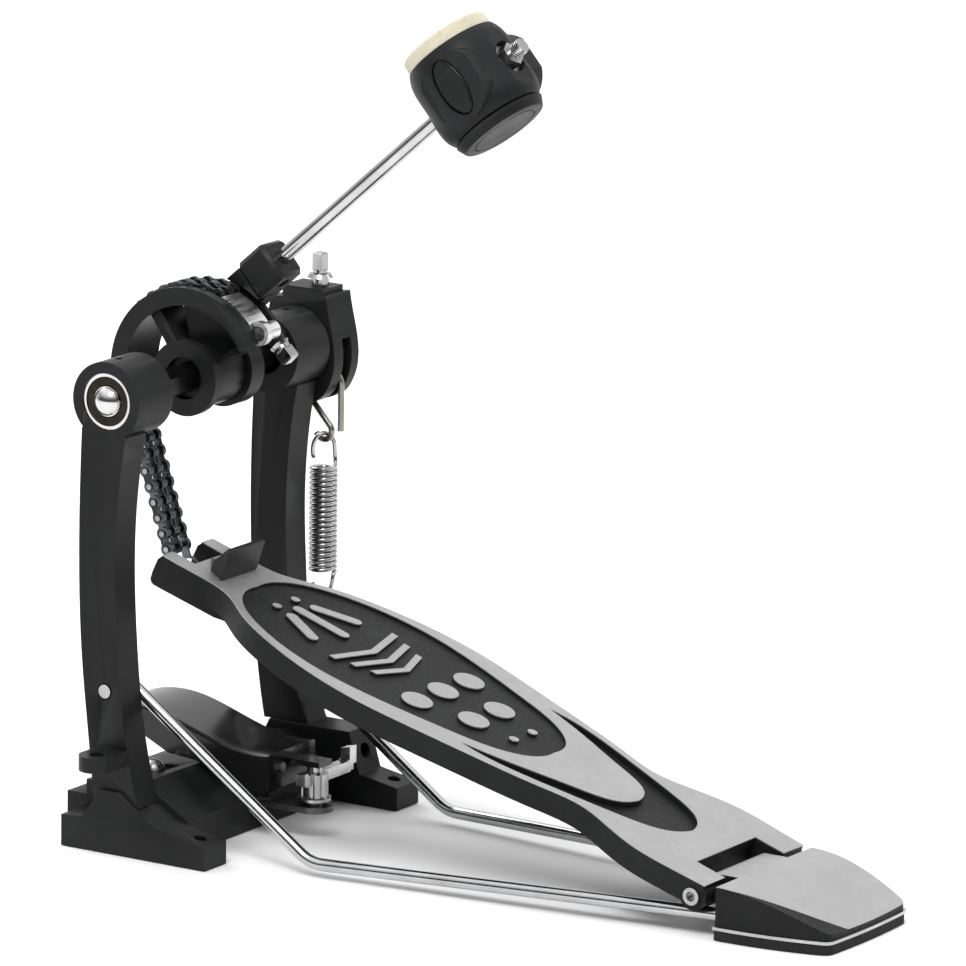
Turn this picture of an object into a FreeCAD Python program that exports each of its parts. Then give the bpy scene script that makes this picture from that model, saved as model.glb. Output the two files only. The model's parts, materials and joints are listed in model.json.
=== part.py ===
import FreeCAD, Part
import math
import os

# Bass drum pedal, in millimetres.
# +X is the player's right (spring side), +Y points at the drum, +Z is up.
# The origin is on the floor, midway between the posts, straight below the axle.

V = FreeCAD.Vector

# ---------------------------------------------------------------- driving sizes
AXLE_Z = 178.4
POST_OUT = 65.5
POST_IN = 52.0
HUB_R = 15.5
HUB_LEN = 22.8
HEX_AF = 11.0

BEARING_R = 11.0
BEARING_BORE_R = 4.0
BEARING_WIDTH = 7.0
BEARING_SET_IN = 0.6
INNER_RING_R = 5.9
OUTER_RING_INNER_R = 9.7
BALL_R = 1.85
BALL_COUNT = 8

WHEEL_X0 = -12.0
WHEEL_X1 = 10.6
GROOVE_X = 8.2
WHEEL_R = 35.5
GROOVE_R = 31.2
RIM_INNER_R = 28.4
WHEEL_TUBE_R = 13.2
WHEEL_TUBE_END = 22.6
WHEEL_FLANGE_R = 15.0

CHAIN_PITCH = 6.35
CHAIN_R = 34.5
CHAIN_TILT = -18.8548
STRAND_X = 3.2
PLATE_R = 2.75
PLATE_T = 0.75
CHAIN_PIN_R = 1.1
ROLLER_R = 1.65
BUSH_R = 1.16
MOVING_LINKS = 5
WRAPPED_LINKS = 7
SPAN_LINKS = 10
CHAIN_FOOT = (9.0, 98.0)

TIP_Y = 6.69
TIP_Z = 107.94
BOARD_SLOPE = 18.5
BOARD_LEN = 275.1
BOARD_WALL = 10.0
HINGE_Y = -248.6
HINGE_Z = 15.8
HINGE_PIN_R = 2.2
FORK_SLOT = 10.0
FORK_DEPTH = 11.0
HEEL_SLOT = 21.5
HEEL_SLOT_S = 261.7

ROD_X = 12.5
ROD_N = 16.7
ROD_R = 3.0
ROD_LEAN = 48.76
ROD_START = 38.6
ROD_END = 197.0
HEAD_D = 169.0
PANEL_D = 173.2
PANEL_X = 20.4

SPRING_X = 77.0
SPRING_Y = -5.5
EYE_Y = -4.4
EYE_Z = 73.0
SADDLE_Y = -7.0
SADDLE_Z = 161.5
SADDLE_R = 3.5
HOOK_WIRE_R = 1.3
HOOK_R = 6.5
COIL_TOP = 129.0
COIL_BOTTOM = 83.6
COIL_R = 5.0
COIL_WIRE_R = 0.8

TAB_Z0 = 36.0
TAB_Z1 = 42.0
TAB_HOLE_R = 2.8

STAY_R = 2.5
HEEL_REAR = -258.3
HEEL_FRONT = -305.3
PAD_T = 4.0
PLATE_TOP = 5.2

LEVER_HALF = 16.5
LEVER_WALL = 2.6
LEVER_PIVOT = (-10.0, 31.2)
LEVER_PIN_R = 2.2
WING_Y = -54.0
FIT = 0.05


# ---------------------------------------------------------------- shape helpers
def box(x0, x1, y0, y1, z0, z1):
    return Part.makeBox(x1 - x0, y1 - y0, z1 - z0, V(x0, y0, z0))


def cyl(p, r, h, axis):
    return Part.makeCylinder(r, h, V(*p), V(*axis))


def cyl_x(y, z, r, x0, x1):
    return cyl((x0, y, z), r, x1 - x0, (1, 0, 0))


def cyl_y(x, z, r, y0, y1):
    return cyl((x, y0, z), r, y1 - y0, (0, 1, 0))


def cyl_z(x, y, r, z0, z1):
    return cyl((x, y, z0), r, z1 - z0, (0, 0, 1))


def ring_x(y, z, r_in, r_out, x0, x1):
    return cyl_x(y, z, r_out, x0, x1).cut(cyl_x(y, z, r_in, x0 - 1, x1 + 1))


def face_of(edges):
    return Part.Face(Part.Wire(Part.__sortEdges__(edges)))


def polygon_x(points, x0, x1):
    """Prism along X over a closed outline of (y, z) points."""
    loop = [V(x0, y, z) for y, z in points]
    return Part.Face(Part.makePolygon(loop + loop[:1])).extrude(V(x1 - x0, 0, 0))


def curve(points):
    spline = Part.BSplineCurve()
    spline.interpolate([V(*p) for p in points])
    return spline.toShape()


def line(a, b):
    return Part.LineSegment(V(*a), V(*b)).toShape()


def fuse(shapes):
    return shapes[0].multiFuse(shapes[1:]).removeSplitter()


def rounded(shape, radius, wanted):
    """Fillet the edges that wanted() accepts."""
    edges = [e for e in shape.Edges if wanted(e)]
    return shape.makeFillet(radius, edges)


def along(edge, axis):
    """True for a straight edge that runs along the axis named 0, 1 or 2."""
    if not isinstance(edge.Curve, Part.Line):
        return False
    return abs(edge.Curve.Direction[axis]) > 0.999


def hexagon_x(y, z, flats, x0, x1, turn=0.0):
    r = flats / 2 / math.cos(math.pi / 6)
    corners = []
    for k in range(6):
        a = math.radians(60 * k + turn)
        corners.append((y + r * math.cos(a), z + r * math.sin(a)))
    return polygon_x(corners, x0, x1)


def wheel_point(r, angle):
    """(y, z) of a point about the axle; the angle runs from +Y up to +Z."""
    a = math.radians(angle)
    return (r * math.cos(a), AXLE_Z + r * math.sin(a))


def sector(r_in, r_out, a0, a1, x0, x1):
    """Part of a ring about the axle between two angles."""
    mid = (a0 + a1) / 2
    edges = []
    for r in (r_in, r_out):
        p = [V(x0, *wheel_point(r, a)) for a in (a0, mid, a1)]
        edges.append(Part.Arc(*p).toShape())
    for a in (a0, a1):
        edges.append(line((x0,) + wheel_point(r_in, a), (x0,) + wheel_point(r_out, a)))
    return face_of(edges).extrude(V(x1 - x0, 0, 0))


def tube_along(path_edges, start, direction, r):
    """Round bar swept along straight runs and tangent arcs."""
    profile = Part.Wire(Part.makeCircle(r, V(*start), V(*direction)))
    return Part.Wire(path_edges).makePipeShell([profile], True, False)


def to_board(shape):
    """Board frame (x, -s, height over the tread) to its place in the pedal."""
    placed = shape.copy()
    placed.rotate(V(0, 0, 0), V(1, 0, 0), BOARD_SLOPE)
    placed.translate(V(0, TIP_Y, TIP_Z))
    return placed


def to_beater(shape):
    """Beater frame (x, strike axis n, rod axis d), centred on the axle."""
    placed = shape.copy()
    placed.rotate(V(0, 0, 0), V(1, 0, 0), ROD_LEAN)
    placed.translate(V(0, 0, AXLE_Z))
    return placed


def export(shape, name):
    shape.exportStep("parts/" + name + ".step")


# ---------------------------------------------------------------- frame
def post(side, foot_top):
    """Hub post: a curved column with a bearing hub and a side tab."""
    inner, outer = POST_IN, POST_OUT
    drum_edge = [(11.3, 167.0), (12.4, 118.0), (11.1, 79.0), (7.3, 42.0), (5.0, foot_top)]
    player_edge = [(-9.4, 165.0), (-4.5, 117.0), (-5.8, 81.0), (-10.0, 44.0), (-16.0, foot_top)]
    top = (0.0, 176.0)
    edges = [curve([(inner,) + p for p in drum_edge]),
             curve([(inner,) + p for p in player_edge]),
             line((inner,) + drum_edge[-1], (inner,) + player_edge[-1]),
             line((inner,) + drum_edge[0], (inner,) + top),
             line((inner,) + player_edge[0], (inner,) + top)]
    column = face_of(edges).extrude(V(outer - inner, 0, 0))
    hub = cyl_x(0, AXLE_Z, HUB_R, outer - HUB_LEN, outer)
    tab = box(outer - 1, outer + 12.5, -11.4, 2.6, TAB_Z0, TAB_Z1)
    tab = fuse([tab, cyl_z(SPRING_X, EYE_Y, 7.0, TAB_Z0, TAB_Z1)])
    body = fuse([column, hub, tab])
    body = body.cut(cyl_z(SPRING_X, EYE_Y, TAB_HOLE_R, TAB_Z0 - 1, TAB_Z1 + 1))
    body = body.cut(cyl_x(0, AXLE_Z, BEARING_R, outer - BEARING_SET_IN - BEARING_WIDTH, outer + 1))
    body = body.cut(cyl_x(0, AXLE_Z, 8.0, outer - HUB_LEN - 1, outer))
    body = body.cut(cyl_z(outer - 8, 0, 1.5, AXLE_Z + BEARING_R - 1, AXLE_Z + HUB_R + 1))
    body = body.cut(cyl_x(0, STAY_END_Z, 3.2, outer - 2.0, outer + 1))
    body = body.cut(cyl_x(0, STAY_END_Z, 2.0, inner - 1, outer))
    if side < 0:
        body = body.mirror(V(0, 0, 0), V(1, 0, 0))
    return body


STAY_END_Z = 64.0


def left_foot():
    outline = [(19.5, 0), (19.5, 12.4), (9.9, 13.0), (4.1, 20.7), (0.9, 25.1), (-8.5, 25.1),
               (-16.5, 18.7), (-24.8, 13.6), (-48.0, 9.2), (-48.0, 0)]
    inner = [(19.5, 0), (19.5, 12.4), (9.9, 13.0), (5.0, 19.6), (-15.5, 19.6),
             (-24.8, 13.6), (-48.0, 9.2), (-48.0, 0)]
    foot = fuse([polygon_x(outline, -66.8, -58.2), polygon_x(inner, -58.2, -POST_IN)])
    foot = foot.cut(cyl_z(-59.5, -41.0, 2.5, -1, 14))
    return foot


def left_post():
    body = post(-1, 19.6)
    return body.cut(left_foot())


def right_foot():
    outline = [(19.5, 0), (19.5, 12.4), (9.9, 13.0), (2.0, 28.8), (-36.0, 28.8),
               (-41.0, 12.4), (-59.0, 9.2), (-59.0, 0)]
    foot = polygon_x(outline, 51.0, 66.8)
    foot = foot.cut(cyl_z(59.5, -52.0, 2.5, -1, 14))
    return foot.cut(cyl_y(59.0, 20.0, 3.0, -42.0, -33.0))


def right_post():
    return post(1, 28.8).cut(right_foot())


def base_crossbar():
    """Cast bar between the feet; its rear step is the lower hoop jaw."""
    outline = [(-28.0, 0), (-30.0, 14.0), (-9.0, 26.0), (18.0, 23.5), (18.0, 17.6),
               (27.0, 17.6), (27.0, 0)]
    bar = polygon_x(outline, -POST_IN, 51.0)
    bar = bar.cut(box(-34.0, -19.5, -4.0, 12.0, SEAT_Z, 30.0))
    bar = bar.cut(box(19.5, 34.0, -4.0, 12.0, SEAT_Z, 30.0))
    y, z = LEVER_PIVOT
    for x in (-9.5, 6.5):
        ear = box(x, x + 3.0, y - 3.4, y + 3.4, 20.0, z)
        bar = fuse([bar, ear, cyl_x(y, z, 3.4, x, x + 3.0)])
    bar = bar.cut(cyl_x(y, z, LEVER_PIN_R + FIT, -12.0, 12.0))
    return bar.cut(clamp_plate())


SEAT_Z = 22.9


def clamp_plate():
    """Flat steel tongue that the wing bolt threads through."""
    plate = box(-7.5, 9.5, WING_Y, -24.0, 11.0, 13.5)
    plate = fuse([plate, cyl_z(0, WING_Y, 7.5, 11.0, 13.5)])
    return plate.cut(cyl_z(0, WING_Y, 3.0 + FIT, 10.0, 15.0))


def crossbar_screws():
    screws = []
    for x in (-26.7, 26.7):
        head = Part.makeSphere(5.0, V(x, 4.0, 23.3)).common(box(x - 6, x + 6, -2, 10, 24.4, 30))
        screws.append(fuse([head, cyl_z(x, 4.0, 4.6, SEAT_Z, 24.5)]))
    return Part.makeCompound(screws)


def hub_screws():
    """Grub screws that hold the bearings, one in the top of each hub."""
    screws = []
    for x in (-POST_OUT + 8, POST_OUT - 8):
        screws.append(cyl_z(x, 0, 1.45, AXLE_Z + BEARING_R + 0.1, AXLE_Z + HUB_R - 0.8))
    return Part.makeCompound(screws)


def stay(side):
    """Stabiliser rod from the post down to the floor and back to the heel."""
    points = [V(49.4, -2.5, 63.5), V(48.0, -84.5, 4.9), V(29.2, HEEL_REAR - 8.0, 8.9)]
    first = (points[1] - points[0]).normalize()
    second = (points[2] - points[1]).normalize()
    radius = 16.0
    half = first.getAngle(second) / 2
    reach = radius * math.tan(half)
    a = points[1] - first * reach
    b = points[1] + second * reach
    mid_dir = (second - first).normalize()
    centre = points[1] + mid_dir * (radius / math.cos(half))
    mid = centre - mid_dir * radius
    path = [Part.LineSegment(points[0], a).toShape(),
            Part.Arc(a, mid, b).toShape(),
            Part.LineSegment(b, points[2]).toShape()]
    rod = tube_along(path, points[0], first, STAY_R)
    eye = cyl_x(0, STAY_END_Z, 4.6, POST_IN - 3.6, POST_IN)
    rod = fuse([rod, eye]).cut(cyl_x(0, STAY_END_Z, 1.9, POST_IN - 6, POST_IN + 1))
    if side < 0:
        rod = rod.mirror(V(0, 0, 0), V(1, 0, 0))
    return rod


def stay_screws():
    """Round-head screws through the posts into the stabiliser rod eyes."""
    screws = []
    for s in (-1, 1):
        head = cyl_x(0, STAY_END_Z, 2.7, POST_OUT - 2.0, POST_OUT + 0.3)
        shank = cyl_x(0, STAY_END_Z, 1.85, POST_IN - 4.4, POST_OUT - 1.9)
        screw = fuse([head, shank])
        if s < 0:
            screw = screw.mirror(V(0, 0, 0), V(1, 0, 0))
        screws.append(screw)
    return Part.makeCompound(screws)


# ---------------------------------------------------------------- heel
def heel_outline(z, inset=0.0):
    """Closed heel outline: square at the hinge, bowed sides, softly bowed front."""
    rear = HEEL_REAR - inset
    front = HEEL_FRONT + inset
    w = 35.0 - inset
    nose = 28.4 - inset
    edges = [line((-w, rear, z), (w, rear, z)),
             Part.Arc(V(w, rear, z), V(34.0 - inset, rear - 20.0, z), V(nose, front + 1.2, z)).toShape(),
             Part.Arc(V(nose, front + 1.2, z), V(0, front, z), V(-nose, front + 1.2, z)).toShape(),
             Part.Arc(V(-nose, front + 1.2, z), V(-34.0 + inset, rear - 20.0, z), V(-w, rear, z)).toShape()]
    return face_of(edges)


def heel_prism(z, height, inset=0.0):
    """Heel outline raised to a height, its rear corners rounded."""
    prism = heel_outline(z, inset).extrude(V(0, 0, height))
    return rounded(prism, 4.5, lambda e: along(e, 2) and e.BoundBox.YMax < HEEL_FRONT + 6)


def heel_block():
    """Heel casting with the hinge tongue that enters the board's slot."""
    body = heel_prism(PLATE_TOP, 18)
    crown = [(HEEL_REAR + 1, 20.5), (HEEL_REAR - 14, 19.0), (HEEL_REAR - 32, 13.4),
             (HEEL_FRONT - 1, 6.9)]
    edges = [curve([(-50.0,) + p for p in crown]),
             line((-50, HEEL_REAR + 1, 20.5), (-50, HEEL_REAR + 1, 40)),
             line((-50, HEEL_REAR + 1, 40), (-50, HEEL_FRONT - 1, 40)),
             line((-50, HEEL_FRONT - 1, 40), (-50, HEEL_FRONT - 1, 6.9))]
    body = body.cut(face_of(edges).extrude(V(100, 0, 0)))
    tongue = box(-18.0, 18.0, HEEL_REAR - 1, HINGE_Y, 11.0, 20.35)
    tongue = fuse([tongue, cyl_x(HINGE_Y, HINGE_Z, 4.6, -18.0, 18.0)])
    body = fuse([body, tongue])
    body = body.cut(cyl_x(HINGE_Y, HINGE_Z, HINGE_PIN_R + FIT, -30, 30))
    return body.cut(stay(-1)).cut(stay(1))


def heel_plate():
    plate = heel_prism(PAD_T, PLATE_TOP - PAD_T, -0.8)
    for x, y in HEEL_SCREWS:
        plate = plate.cut(cyl_z(x, y, 2.0, PAD_T - 1, PLATE_TOP + 1))
    return plate


HEEL_SCREWS = [(-24.0, -266.0), (24.0, -266.0), (0.0, -295.0)]


def heel_pad():
    pad = heel_prism(0, PAD_T, -0.3)
    for x, y in HEEL_SCREWS:
        pad = pad.cut(cyl_z(x, y, 3.6, -1, PAD_T + 1))
    return pad


def heel_screws():
    screws = []
    for x, y in HEEL_SCREWS:
        screws.append(fuse([cyl_z(x, y, 3.3, PAD_T - 1.6, PAD_T), cyl_z(x, y, 1.9, PAD_T - 1, PLATE_TOP)]))
    return Part.makeCompound(screws)


# ---------------------------------------------------------------- bearings and axle
def outer_ring(side):
    x0 = POST_OUT - BEARING_SET_IN - BEARING_WIDTH
    ring = ring_x(0, AXLE_Z, OUTER_RING_INNER_R, BEARING_R, x0, x0 + BEARING_WIDTH)
    return ring if side > 0 else ring.mirror(V(0, 0, 0), V(1, 0, 0))


def inner_ring(side):
    x0 = POST_OUT - BEARING_SET_IN - BEARING_WIDTH
    ring = ring_x(0, AXLE_Z, BEARING_BORE_R, INNER_RING_R, x0, x0 + BEARING_WIDTH)
    return ring if side > 0 else ring.mirror(V(0, 0, 0), V(1, 0, 0))


def bearing_shield(side):
    """Thin washer over the balls, held in the outer ring."""
    x0 = POST_OUT - BEARING_SET_IN - 0.9
    shield = ring_x(0, AXLE_Z, INNER_RING_R + 0.35, OUTER_RING_INNER_R, x0, x0 + 0.5)
    return shield if side > 0 else shield.mirror(V(0, 0, 0), V(1, 0, 0))


def bearing_balls(side):
    x = side * (POST_OUT - BEARING_SET_IN - BEARING_WIDTH / 2)
    balls = []
    for k in range(BALL_COUNT):
        y, z = wheel_point((INNER_RING_R + OUTER_RING_INNER_R) / 2, 360 * k / BALL_COUNT)
        balls.append(Part.makeSphere(BALL_R, V(x, y, z)))
    return Part.makeCompound(balls)


def axle():
    """Hexagonal axle with round journals; the right journal carries the rocker."""
    journal = POST_OUT - BEARING_SET_IN - BEARING_WIDTH - 0.2
    shaft = hexagon_x(0, AXLE_Z, HEX_AF, -journal, journal, 30)
    left = cyl_x(0, AXLE_Z, BEARING_BORE_R, -POST_OUT, -journal)
    right = cyl_x(0, AXLE_Z, BEARING_BORE_R, journal, ROCKER_X1)
    cap = Part.makeSphere(6.6, V(-POST_OUT + 3.6, 0, AXLE_Z))
    cap = cap.common(cyl_x(0, AXLE_Z, 5.4, -POST_OUT - 5, -POST_OUT + 0.6))
    return fuse([shaft, left, right, cap])


def drive_wheel():
    """Wheel with a chain groove, a spoke, a recessed web and a hub tube."""
    a0, a1 = -32.0, 152.0
    core = sector(RIM_INNER_R, GROOVE_R, a0, a1, WHEEL_X0, WHEEL_X1)
    left = sector(RIM_INNER_R, WHEEL_R, a0, a1, WHEEL_X0, -GROOVE_X)
    right = sector(RIM_INNER_R, WHEEL_R, a0, a1, GROOVE_X, WHEEL_X1)
    tube = cyl_x(0, AXLE_Z, WHEEL_TUBE_R, WHEEL_X0 - 1, WHEEL_TUBE_END)
    disc = cyl_x(0, AXLE_Z, WHEEL_FLANGE_R, -13.2, -9.5)
    web = sector(WHEEL_TUBE_R - 1, RIM_INNER_R + 1, 76.0, a1, -4.0, 3.0)
    lip = sector(WHEEL_TUBE_R - 1, RIM_INNER_R + 1, 146.0, a1, -9.0, 6.0)
    solids = [core, left, right, tube, disc, web, lip]
    for angle, width in ((55.0, 5.0), (-28.5, 6.0)):
        spoke = box(-9.0, 6.0, WHEEL_TUBE_R - 2, RIM_INNER_R + 1, -width / 2, width / 2)
        spoke.rotate(V(0, 0, 0), V(1, 0, 0), angle)
        spoke.translate(V(0, 0, AXLE_Z))
        solids.append(spoke)
    y, z = KEY_FOOT
    reach = 7.0
    boss = cyl((KEY_X, y - KEY_WAY[0] * reach, z - KEY_WAY[1] * reach), 3.3, reach, (0,) + KEY_WAY)
    wheel = fuse(solids + [boss])
    wheel = wheel.cut(strap_clamp()).cut(holder_key_bolt())
    wheel = wheel.cut(hexagon_x(0, AXLE_Z, HEX_AF, -20, 30, 30))
    return wheel.cut(cyl_x(0, AXLE_Z, 8.4, -14, -10.5))


KEY_X = 6.0
KEY_FOOT = (-31.5, 192.5)
KEY_WAY = (-0.7121, -0.7021)
CLAMP_Y = -31.0
CLAMP_Z = 199.0


def holder_envelope():
    """Space that the wheel, its chain and its strap need under the holder."""
    return cyl_x(0, AXLE_Z, 37.8, -20.0, WHEEL_X1 + 0.2)


def beater_holder():
    """Stem off the hub tube, and the clamp block that grips the rod."""
    stem = box(5.0, 20.0, 8.7, 23.2, 2.0, 37.4)
    neck = box(11.0, 20.0, 11.0, 22.0, 36.0, 39.0)
    block = box(4.5, 20.5, 8.6, 24.8, 38.4, 52.4)
    block = block.makeChamfer(1.8, [e for e in block.Edges if along(e, 2)])
    top = [e for e in block.Edges if e.BoundBox.ZMin > 52.3]
    block = block.makeChamfer(1.5, top)
    rod_hole = cyl_z(ROD_X, ROD_N, ROD_R + FIT, ROD_START - 0.6, 60)
    screw_hole = cyl((ROD_X, 6.0, 46.0), 2.6, ROD_N - 6.0, (0, 1, 0))
    holder = to_beater(fuse([stem, neck, block]).cut(rod_hole).cut(screw_hole))
    collar = ring_x(0, AXLE_Z, WHEEL_TUBE_R, WHEEL_TUBE_R + 2.2, 11.2, 20.0)
    holder = holder.cut(cyl_x(0, AXLE_Z, WHEEL_TUBE_R, -20, 40)).cut(holder_envelope())
    return fuse([holder, collar])


def beater_set_screw():
    screw = cyl((ROD_X, 9.4, 46.0), 2.5, ROD_N - ROD_R - 0.3 - 9.4, (0, 1, 0))
    socket = hexagon_x(0, 0, 2.5, 0, 2.0)
    socket.rotate(V(0, 0, 0), V(0, 0, 1), 90)
    socket.translate(V(ROD_X, 9.2, 46.0))
    return to_beater(screw.cut(socket))


def chain_strap():
    """Bright strap that runs from the chain's end back to the clamp barrel."""
    strap = sector(34.6, 35.8, 112.8, 141.0, -7.8, 4.3)
    foot = sector(GROOVE_R, 35.0, 112.8, 114.4, -7.8, 4.3)
    ear = sector(31.6, 33.2, 140.5, 151.5, -7.8, 2.4)
    riser = sector(31.6, 35.2, 139.6, 141.0, -7.8, 2.4)
    return fuse([strap, foot, ear, riser]).cut(strap_clamp())


def strap_clamp():
    """Bright cross barrel with a ring end that tightens the strap."""
    barrel = cyl_x(CLAMP_Y, CLAMP_Z, 3.7, -5.0, 2.4)
    rim = ring_x(CLAMP_Y, CLAMP_Z, 3.0, 4.8, -8.0, -5.0)
    rear = cyl_x(CLAMP_Y, CLAMP_Z, 4.2, -6.0, -4.6)
    return fuse([barrel, rim, rear])


def strap_screw():
    """Slotted screw inside the clamp's ring end."""
    head = cyl_x(CLAMP_Y, CLAMP_Z, 2.6, -8.0, -6.0)
    slot = box(-9.0, -7.2, CLAMP_Y - 3, CLAMP_Y + 3, CLAMP_Z - 0.4, CLAMP_Z + 0.4)
    return head.cut(slot)


def square_key_bolt(length, washer_r, square, tall, shank_r):
    """Square-head key bolt along +Z, its washer face at z = 0."""
    shank = cyl_z(0, 0, shank_r, -length, 0.2)
    washer = Part.makeCone(washer_r, washer_r * 0.8, 1.6)
    neck = cyl_z(0, 0, square * 0.62, 1.4, 3.0)
    head = box(-square / 2, square / 2, -square / 2, square / 2, 2.6, 2.6 + tall)
    head = head.makeChamfer(0.7, [e for e in head.Edges if e.BoundBox.ZMin > 2.5 + tall])
    return fuse([shank, washer, neck, head])


def holder_key_bolt():
    """Key bolt in the wheel's rear boss; it points down to the player."""
    bolt = square_key_bolt(5.0, 4.2, 5.6, 5.4, 2.0)
    lean = math.degrees(math.atan2(-KEY_WAY[0], KEY_WAY[1]))
    bolt.rotate(V(0, 0, 0), V(1, 0, 0), lean)
    bolt.translate(V(KEY_X, KEY_FOOT[0], KEY_FOOT[1]))
    return bolt


def rocker():
    """Spring rocker: two cheeks with a top block, a hub and the hook saddle."""
    x0, x1 = ROCKER_X0, ROCKER_X1
    back = curve([(x0, 14.0, 196.0), (x0, 16.0, 184.0), (x0, 15.0, 168.0), (x0, 2.0, 154.6)])
    front = curve([(x0, -12.0, 198.6), (x0, -13.4, 191.0), (x0, -15.8, 180.0), (x0, -11.6, 159.0)])
    edges = [back, front,
             line((x0, 14.0, 196.0), (x0, -12.0, 198.6)),
             Part.Arc(V(x0, -11.6, 159.0), V(x0, -6.0, 155.2), V(x0, 2.0, 154.6)).toShape()]
    body = face_of(edges).extrude(V(x1 - x0, 0, 0))
    cap = box(x0 + 1.5, x1 - 1.5, -9.5, 9.5, 195.0, ROCKER_TOP)
    body = fuse([body, cap])
    slit = box(SPRING_X - 3.0, SPRING_X + 3.0, -30, 40, 140, 181.0)
    slit = slit.cut(cyl_x(0, AXLE_Z, 8.2, x0, x1))
    body = body.cut(slit)
    saddle = cyl_x(SADDLE_Y, SADDLE_Z, SADDLE_R, SPRING_X - 3.5, SPRING_X + 3.5)
    body = fuse([body, saddle])
    body = body.cut(cyl_x(0, AXLE_Z, BEARING_BORE_R, x0 - 1, x1 + 1))
    return body.cut(cyl_z(SPRING_X, ROCKER_KEY_Y, 2.5, AXLE_Z, 210))


ROCKER_X0 = 67.6
ROCKER_X1 = 85.0
ROCKER_TOP = 200.8
ROCKER_KEY_Y = -3.0


def rocker_key_bolt():
    bolt = square_key_bolt(19.4, 5.2, 4.5, 7.4, 2.5)
    bolt.translate(V(SPRING_X, ROCKER_KEY_Y, ROCKER_TOP + 3.2))
    spacer = cyl_z(SPRING_X, ROCKER_KEY_Y, 3.6, ROCKER_TOP, ROCKER_TOP + 3.3)
    return fuse([bolt, spacer])


# ---------------------------------------------------------------- chain
def chain_pins():
    """Pin centres from the wheel's far end down to the footboard."""
    step = math.degrees(2 * math.asin(CHAIN_PITCH / 2 / CHAIN_R))
    wrapped = [wheel_point(CHAIN_R, CHAIN_TILT + step * k)
               for k in range(MOVING_LINKS + WRAPPED_LINKS + 1)]
    y0, z0 = wrapped[0]
    dy, dz = CHAIN_FOOT[0] - y0, CHAIN_FOOT[1] - z0
    reach = math.hypot(dy, dz)
    span = [(y0 + dy * CHAIN_PITCH * k / reach, z0 + dz * CHAIN_PITCH * k / reach)
            for k in range(1, SPAN_LINKS + 1)]
    return wrapped, span


def link_plate(a, b, x0, r=PLATE_R, t=PLATE_T):
    """Waisted plate round two pin centres."""
    dy, dz = b[0] - a[0], b[1] - a[1]
    reach = math.hypot(dy, dz)
    ny, nz = -dz / reach, dy / reach
    w = r * 0.68
    corners = [(a[0] + ny * w, a[1] + nz * w), (b[0] + ny * w, b[1] + nz * w),
               (b[0] - ny * w, b[1] - nz * w), (a[0] - ny * w, a[1] - nz * w)]
    plate = fuse([cyl_x(a[0], a[1], r, x0, x0 + t), cyl_x(b[0], b[1], r, x0, x0 + t),
                  polygon_x(corners, x0, x0 + t)])
    return plate


def inner_link(a, b):
    """Roller link of both strands: plates and rollers with clearance bores."""
    solids = []
    for centre in (-STRAND_X, STRAND_X):
        parts = [link_plate(a, b, centre + x) for x in (-2.35, 1.6)]
        for p in (a, b):
            parts.append(cyl_x(p[0], p[1], ROLLER_R, centre - 1.7, centre + 1.7))
        link = fuse(parts)
        for p in (a, b):
            link = link.cut(cyl_x(p[0], p[1], BUSH_R, centre - 4, centre + 4))
        solids.append(link)
    return Part.makeCompound(solids)


def outer_link(a, b):
    """Pin link: three plates and two pins through both strands."""
    parts = [link_plate(a, b, -STRAND_X - 2.55 - PLATE_T),
             link_plate(a, b, -0.55, t=1.1),
             link_plate(a, b, STRAND_X + 2.55)]
    for p in (a, b):
        parts.append(cyl_x(p[0], p[1], CHAIN_PIN_R, -7.2, 7.2))
    return fuse(parts)


def link(a, b, k):
    return outer_link(a, b) if k % 2 == 0 else inner_link(a, b)


def chain_wrapped():
    """Links that stay on the wheel."""
    wrapped, span = chain_pins()
    solids = []
    for k in range(MOVING_LINKS, MOVING_LINKS + WRAPPED_LINKS):
        solids += link(wrapped[k], wrapped[k + 1], k).Solids
    return Part.makeCompound(solids)


def chain_pair(k):
    """Two neighbouring links that lift off the wheel together."""
    wrapped, span = chain_pins()
    solids = []
    for j in (k, k + 1):
        solids += link(wrapped[j], wrapped[j + 1], j).Solids
    return Part.makeCompound(solids)


def chain_span():
    """Last link off the wheel and the straight run down to the eye plates."""
    wrapped, span = chain_pins()
    pins = [wrapped[1], wrapped[0]] + span
    solids = []
    for k in range(SPAN_LINKS + 1):
        solids += link(pins[k], pins[k + 1], k).Solids
    return Part.makeCompound(solids)


def chain_end():
    """Eye plates from the last chain pin to the footboard."""
    wrapped, span = chain_pins()
    last = span[-1]
    plates = []
    for x in (-STRAND_X - 2.35, STRAND_X + 1.6):
        plate = link_plate(last, CHAIN_FOOT, x)
        plate = fuse([plate, cyl_x(CHAIN_FOOT[0], CHAIN_FOOT[1], 5.0, x, x + PLATE_T)])
        plate = plate.cut(cyl_x(CHAIN_FOOT[0], CHAIN_FOOT[1], 3.9, x - 1, x + 2))
        plate = plate.cut(cyl_x(last[0], last[1], CHAIN_PIN_R, x - 1, x + 2))
        plates.append(plate)
    return Part.makeCompound(plates)


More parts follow.
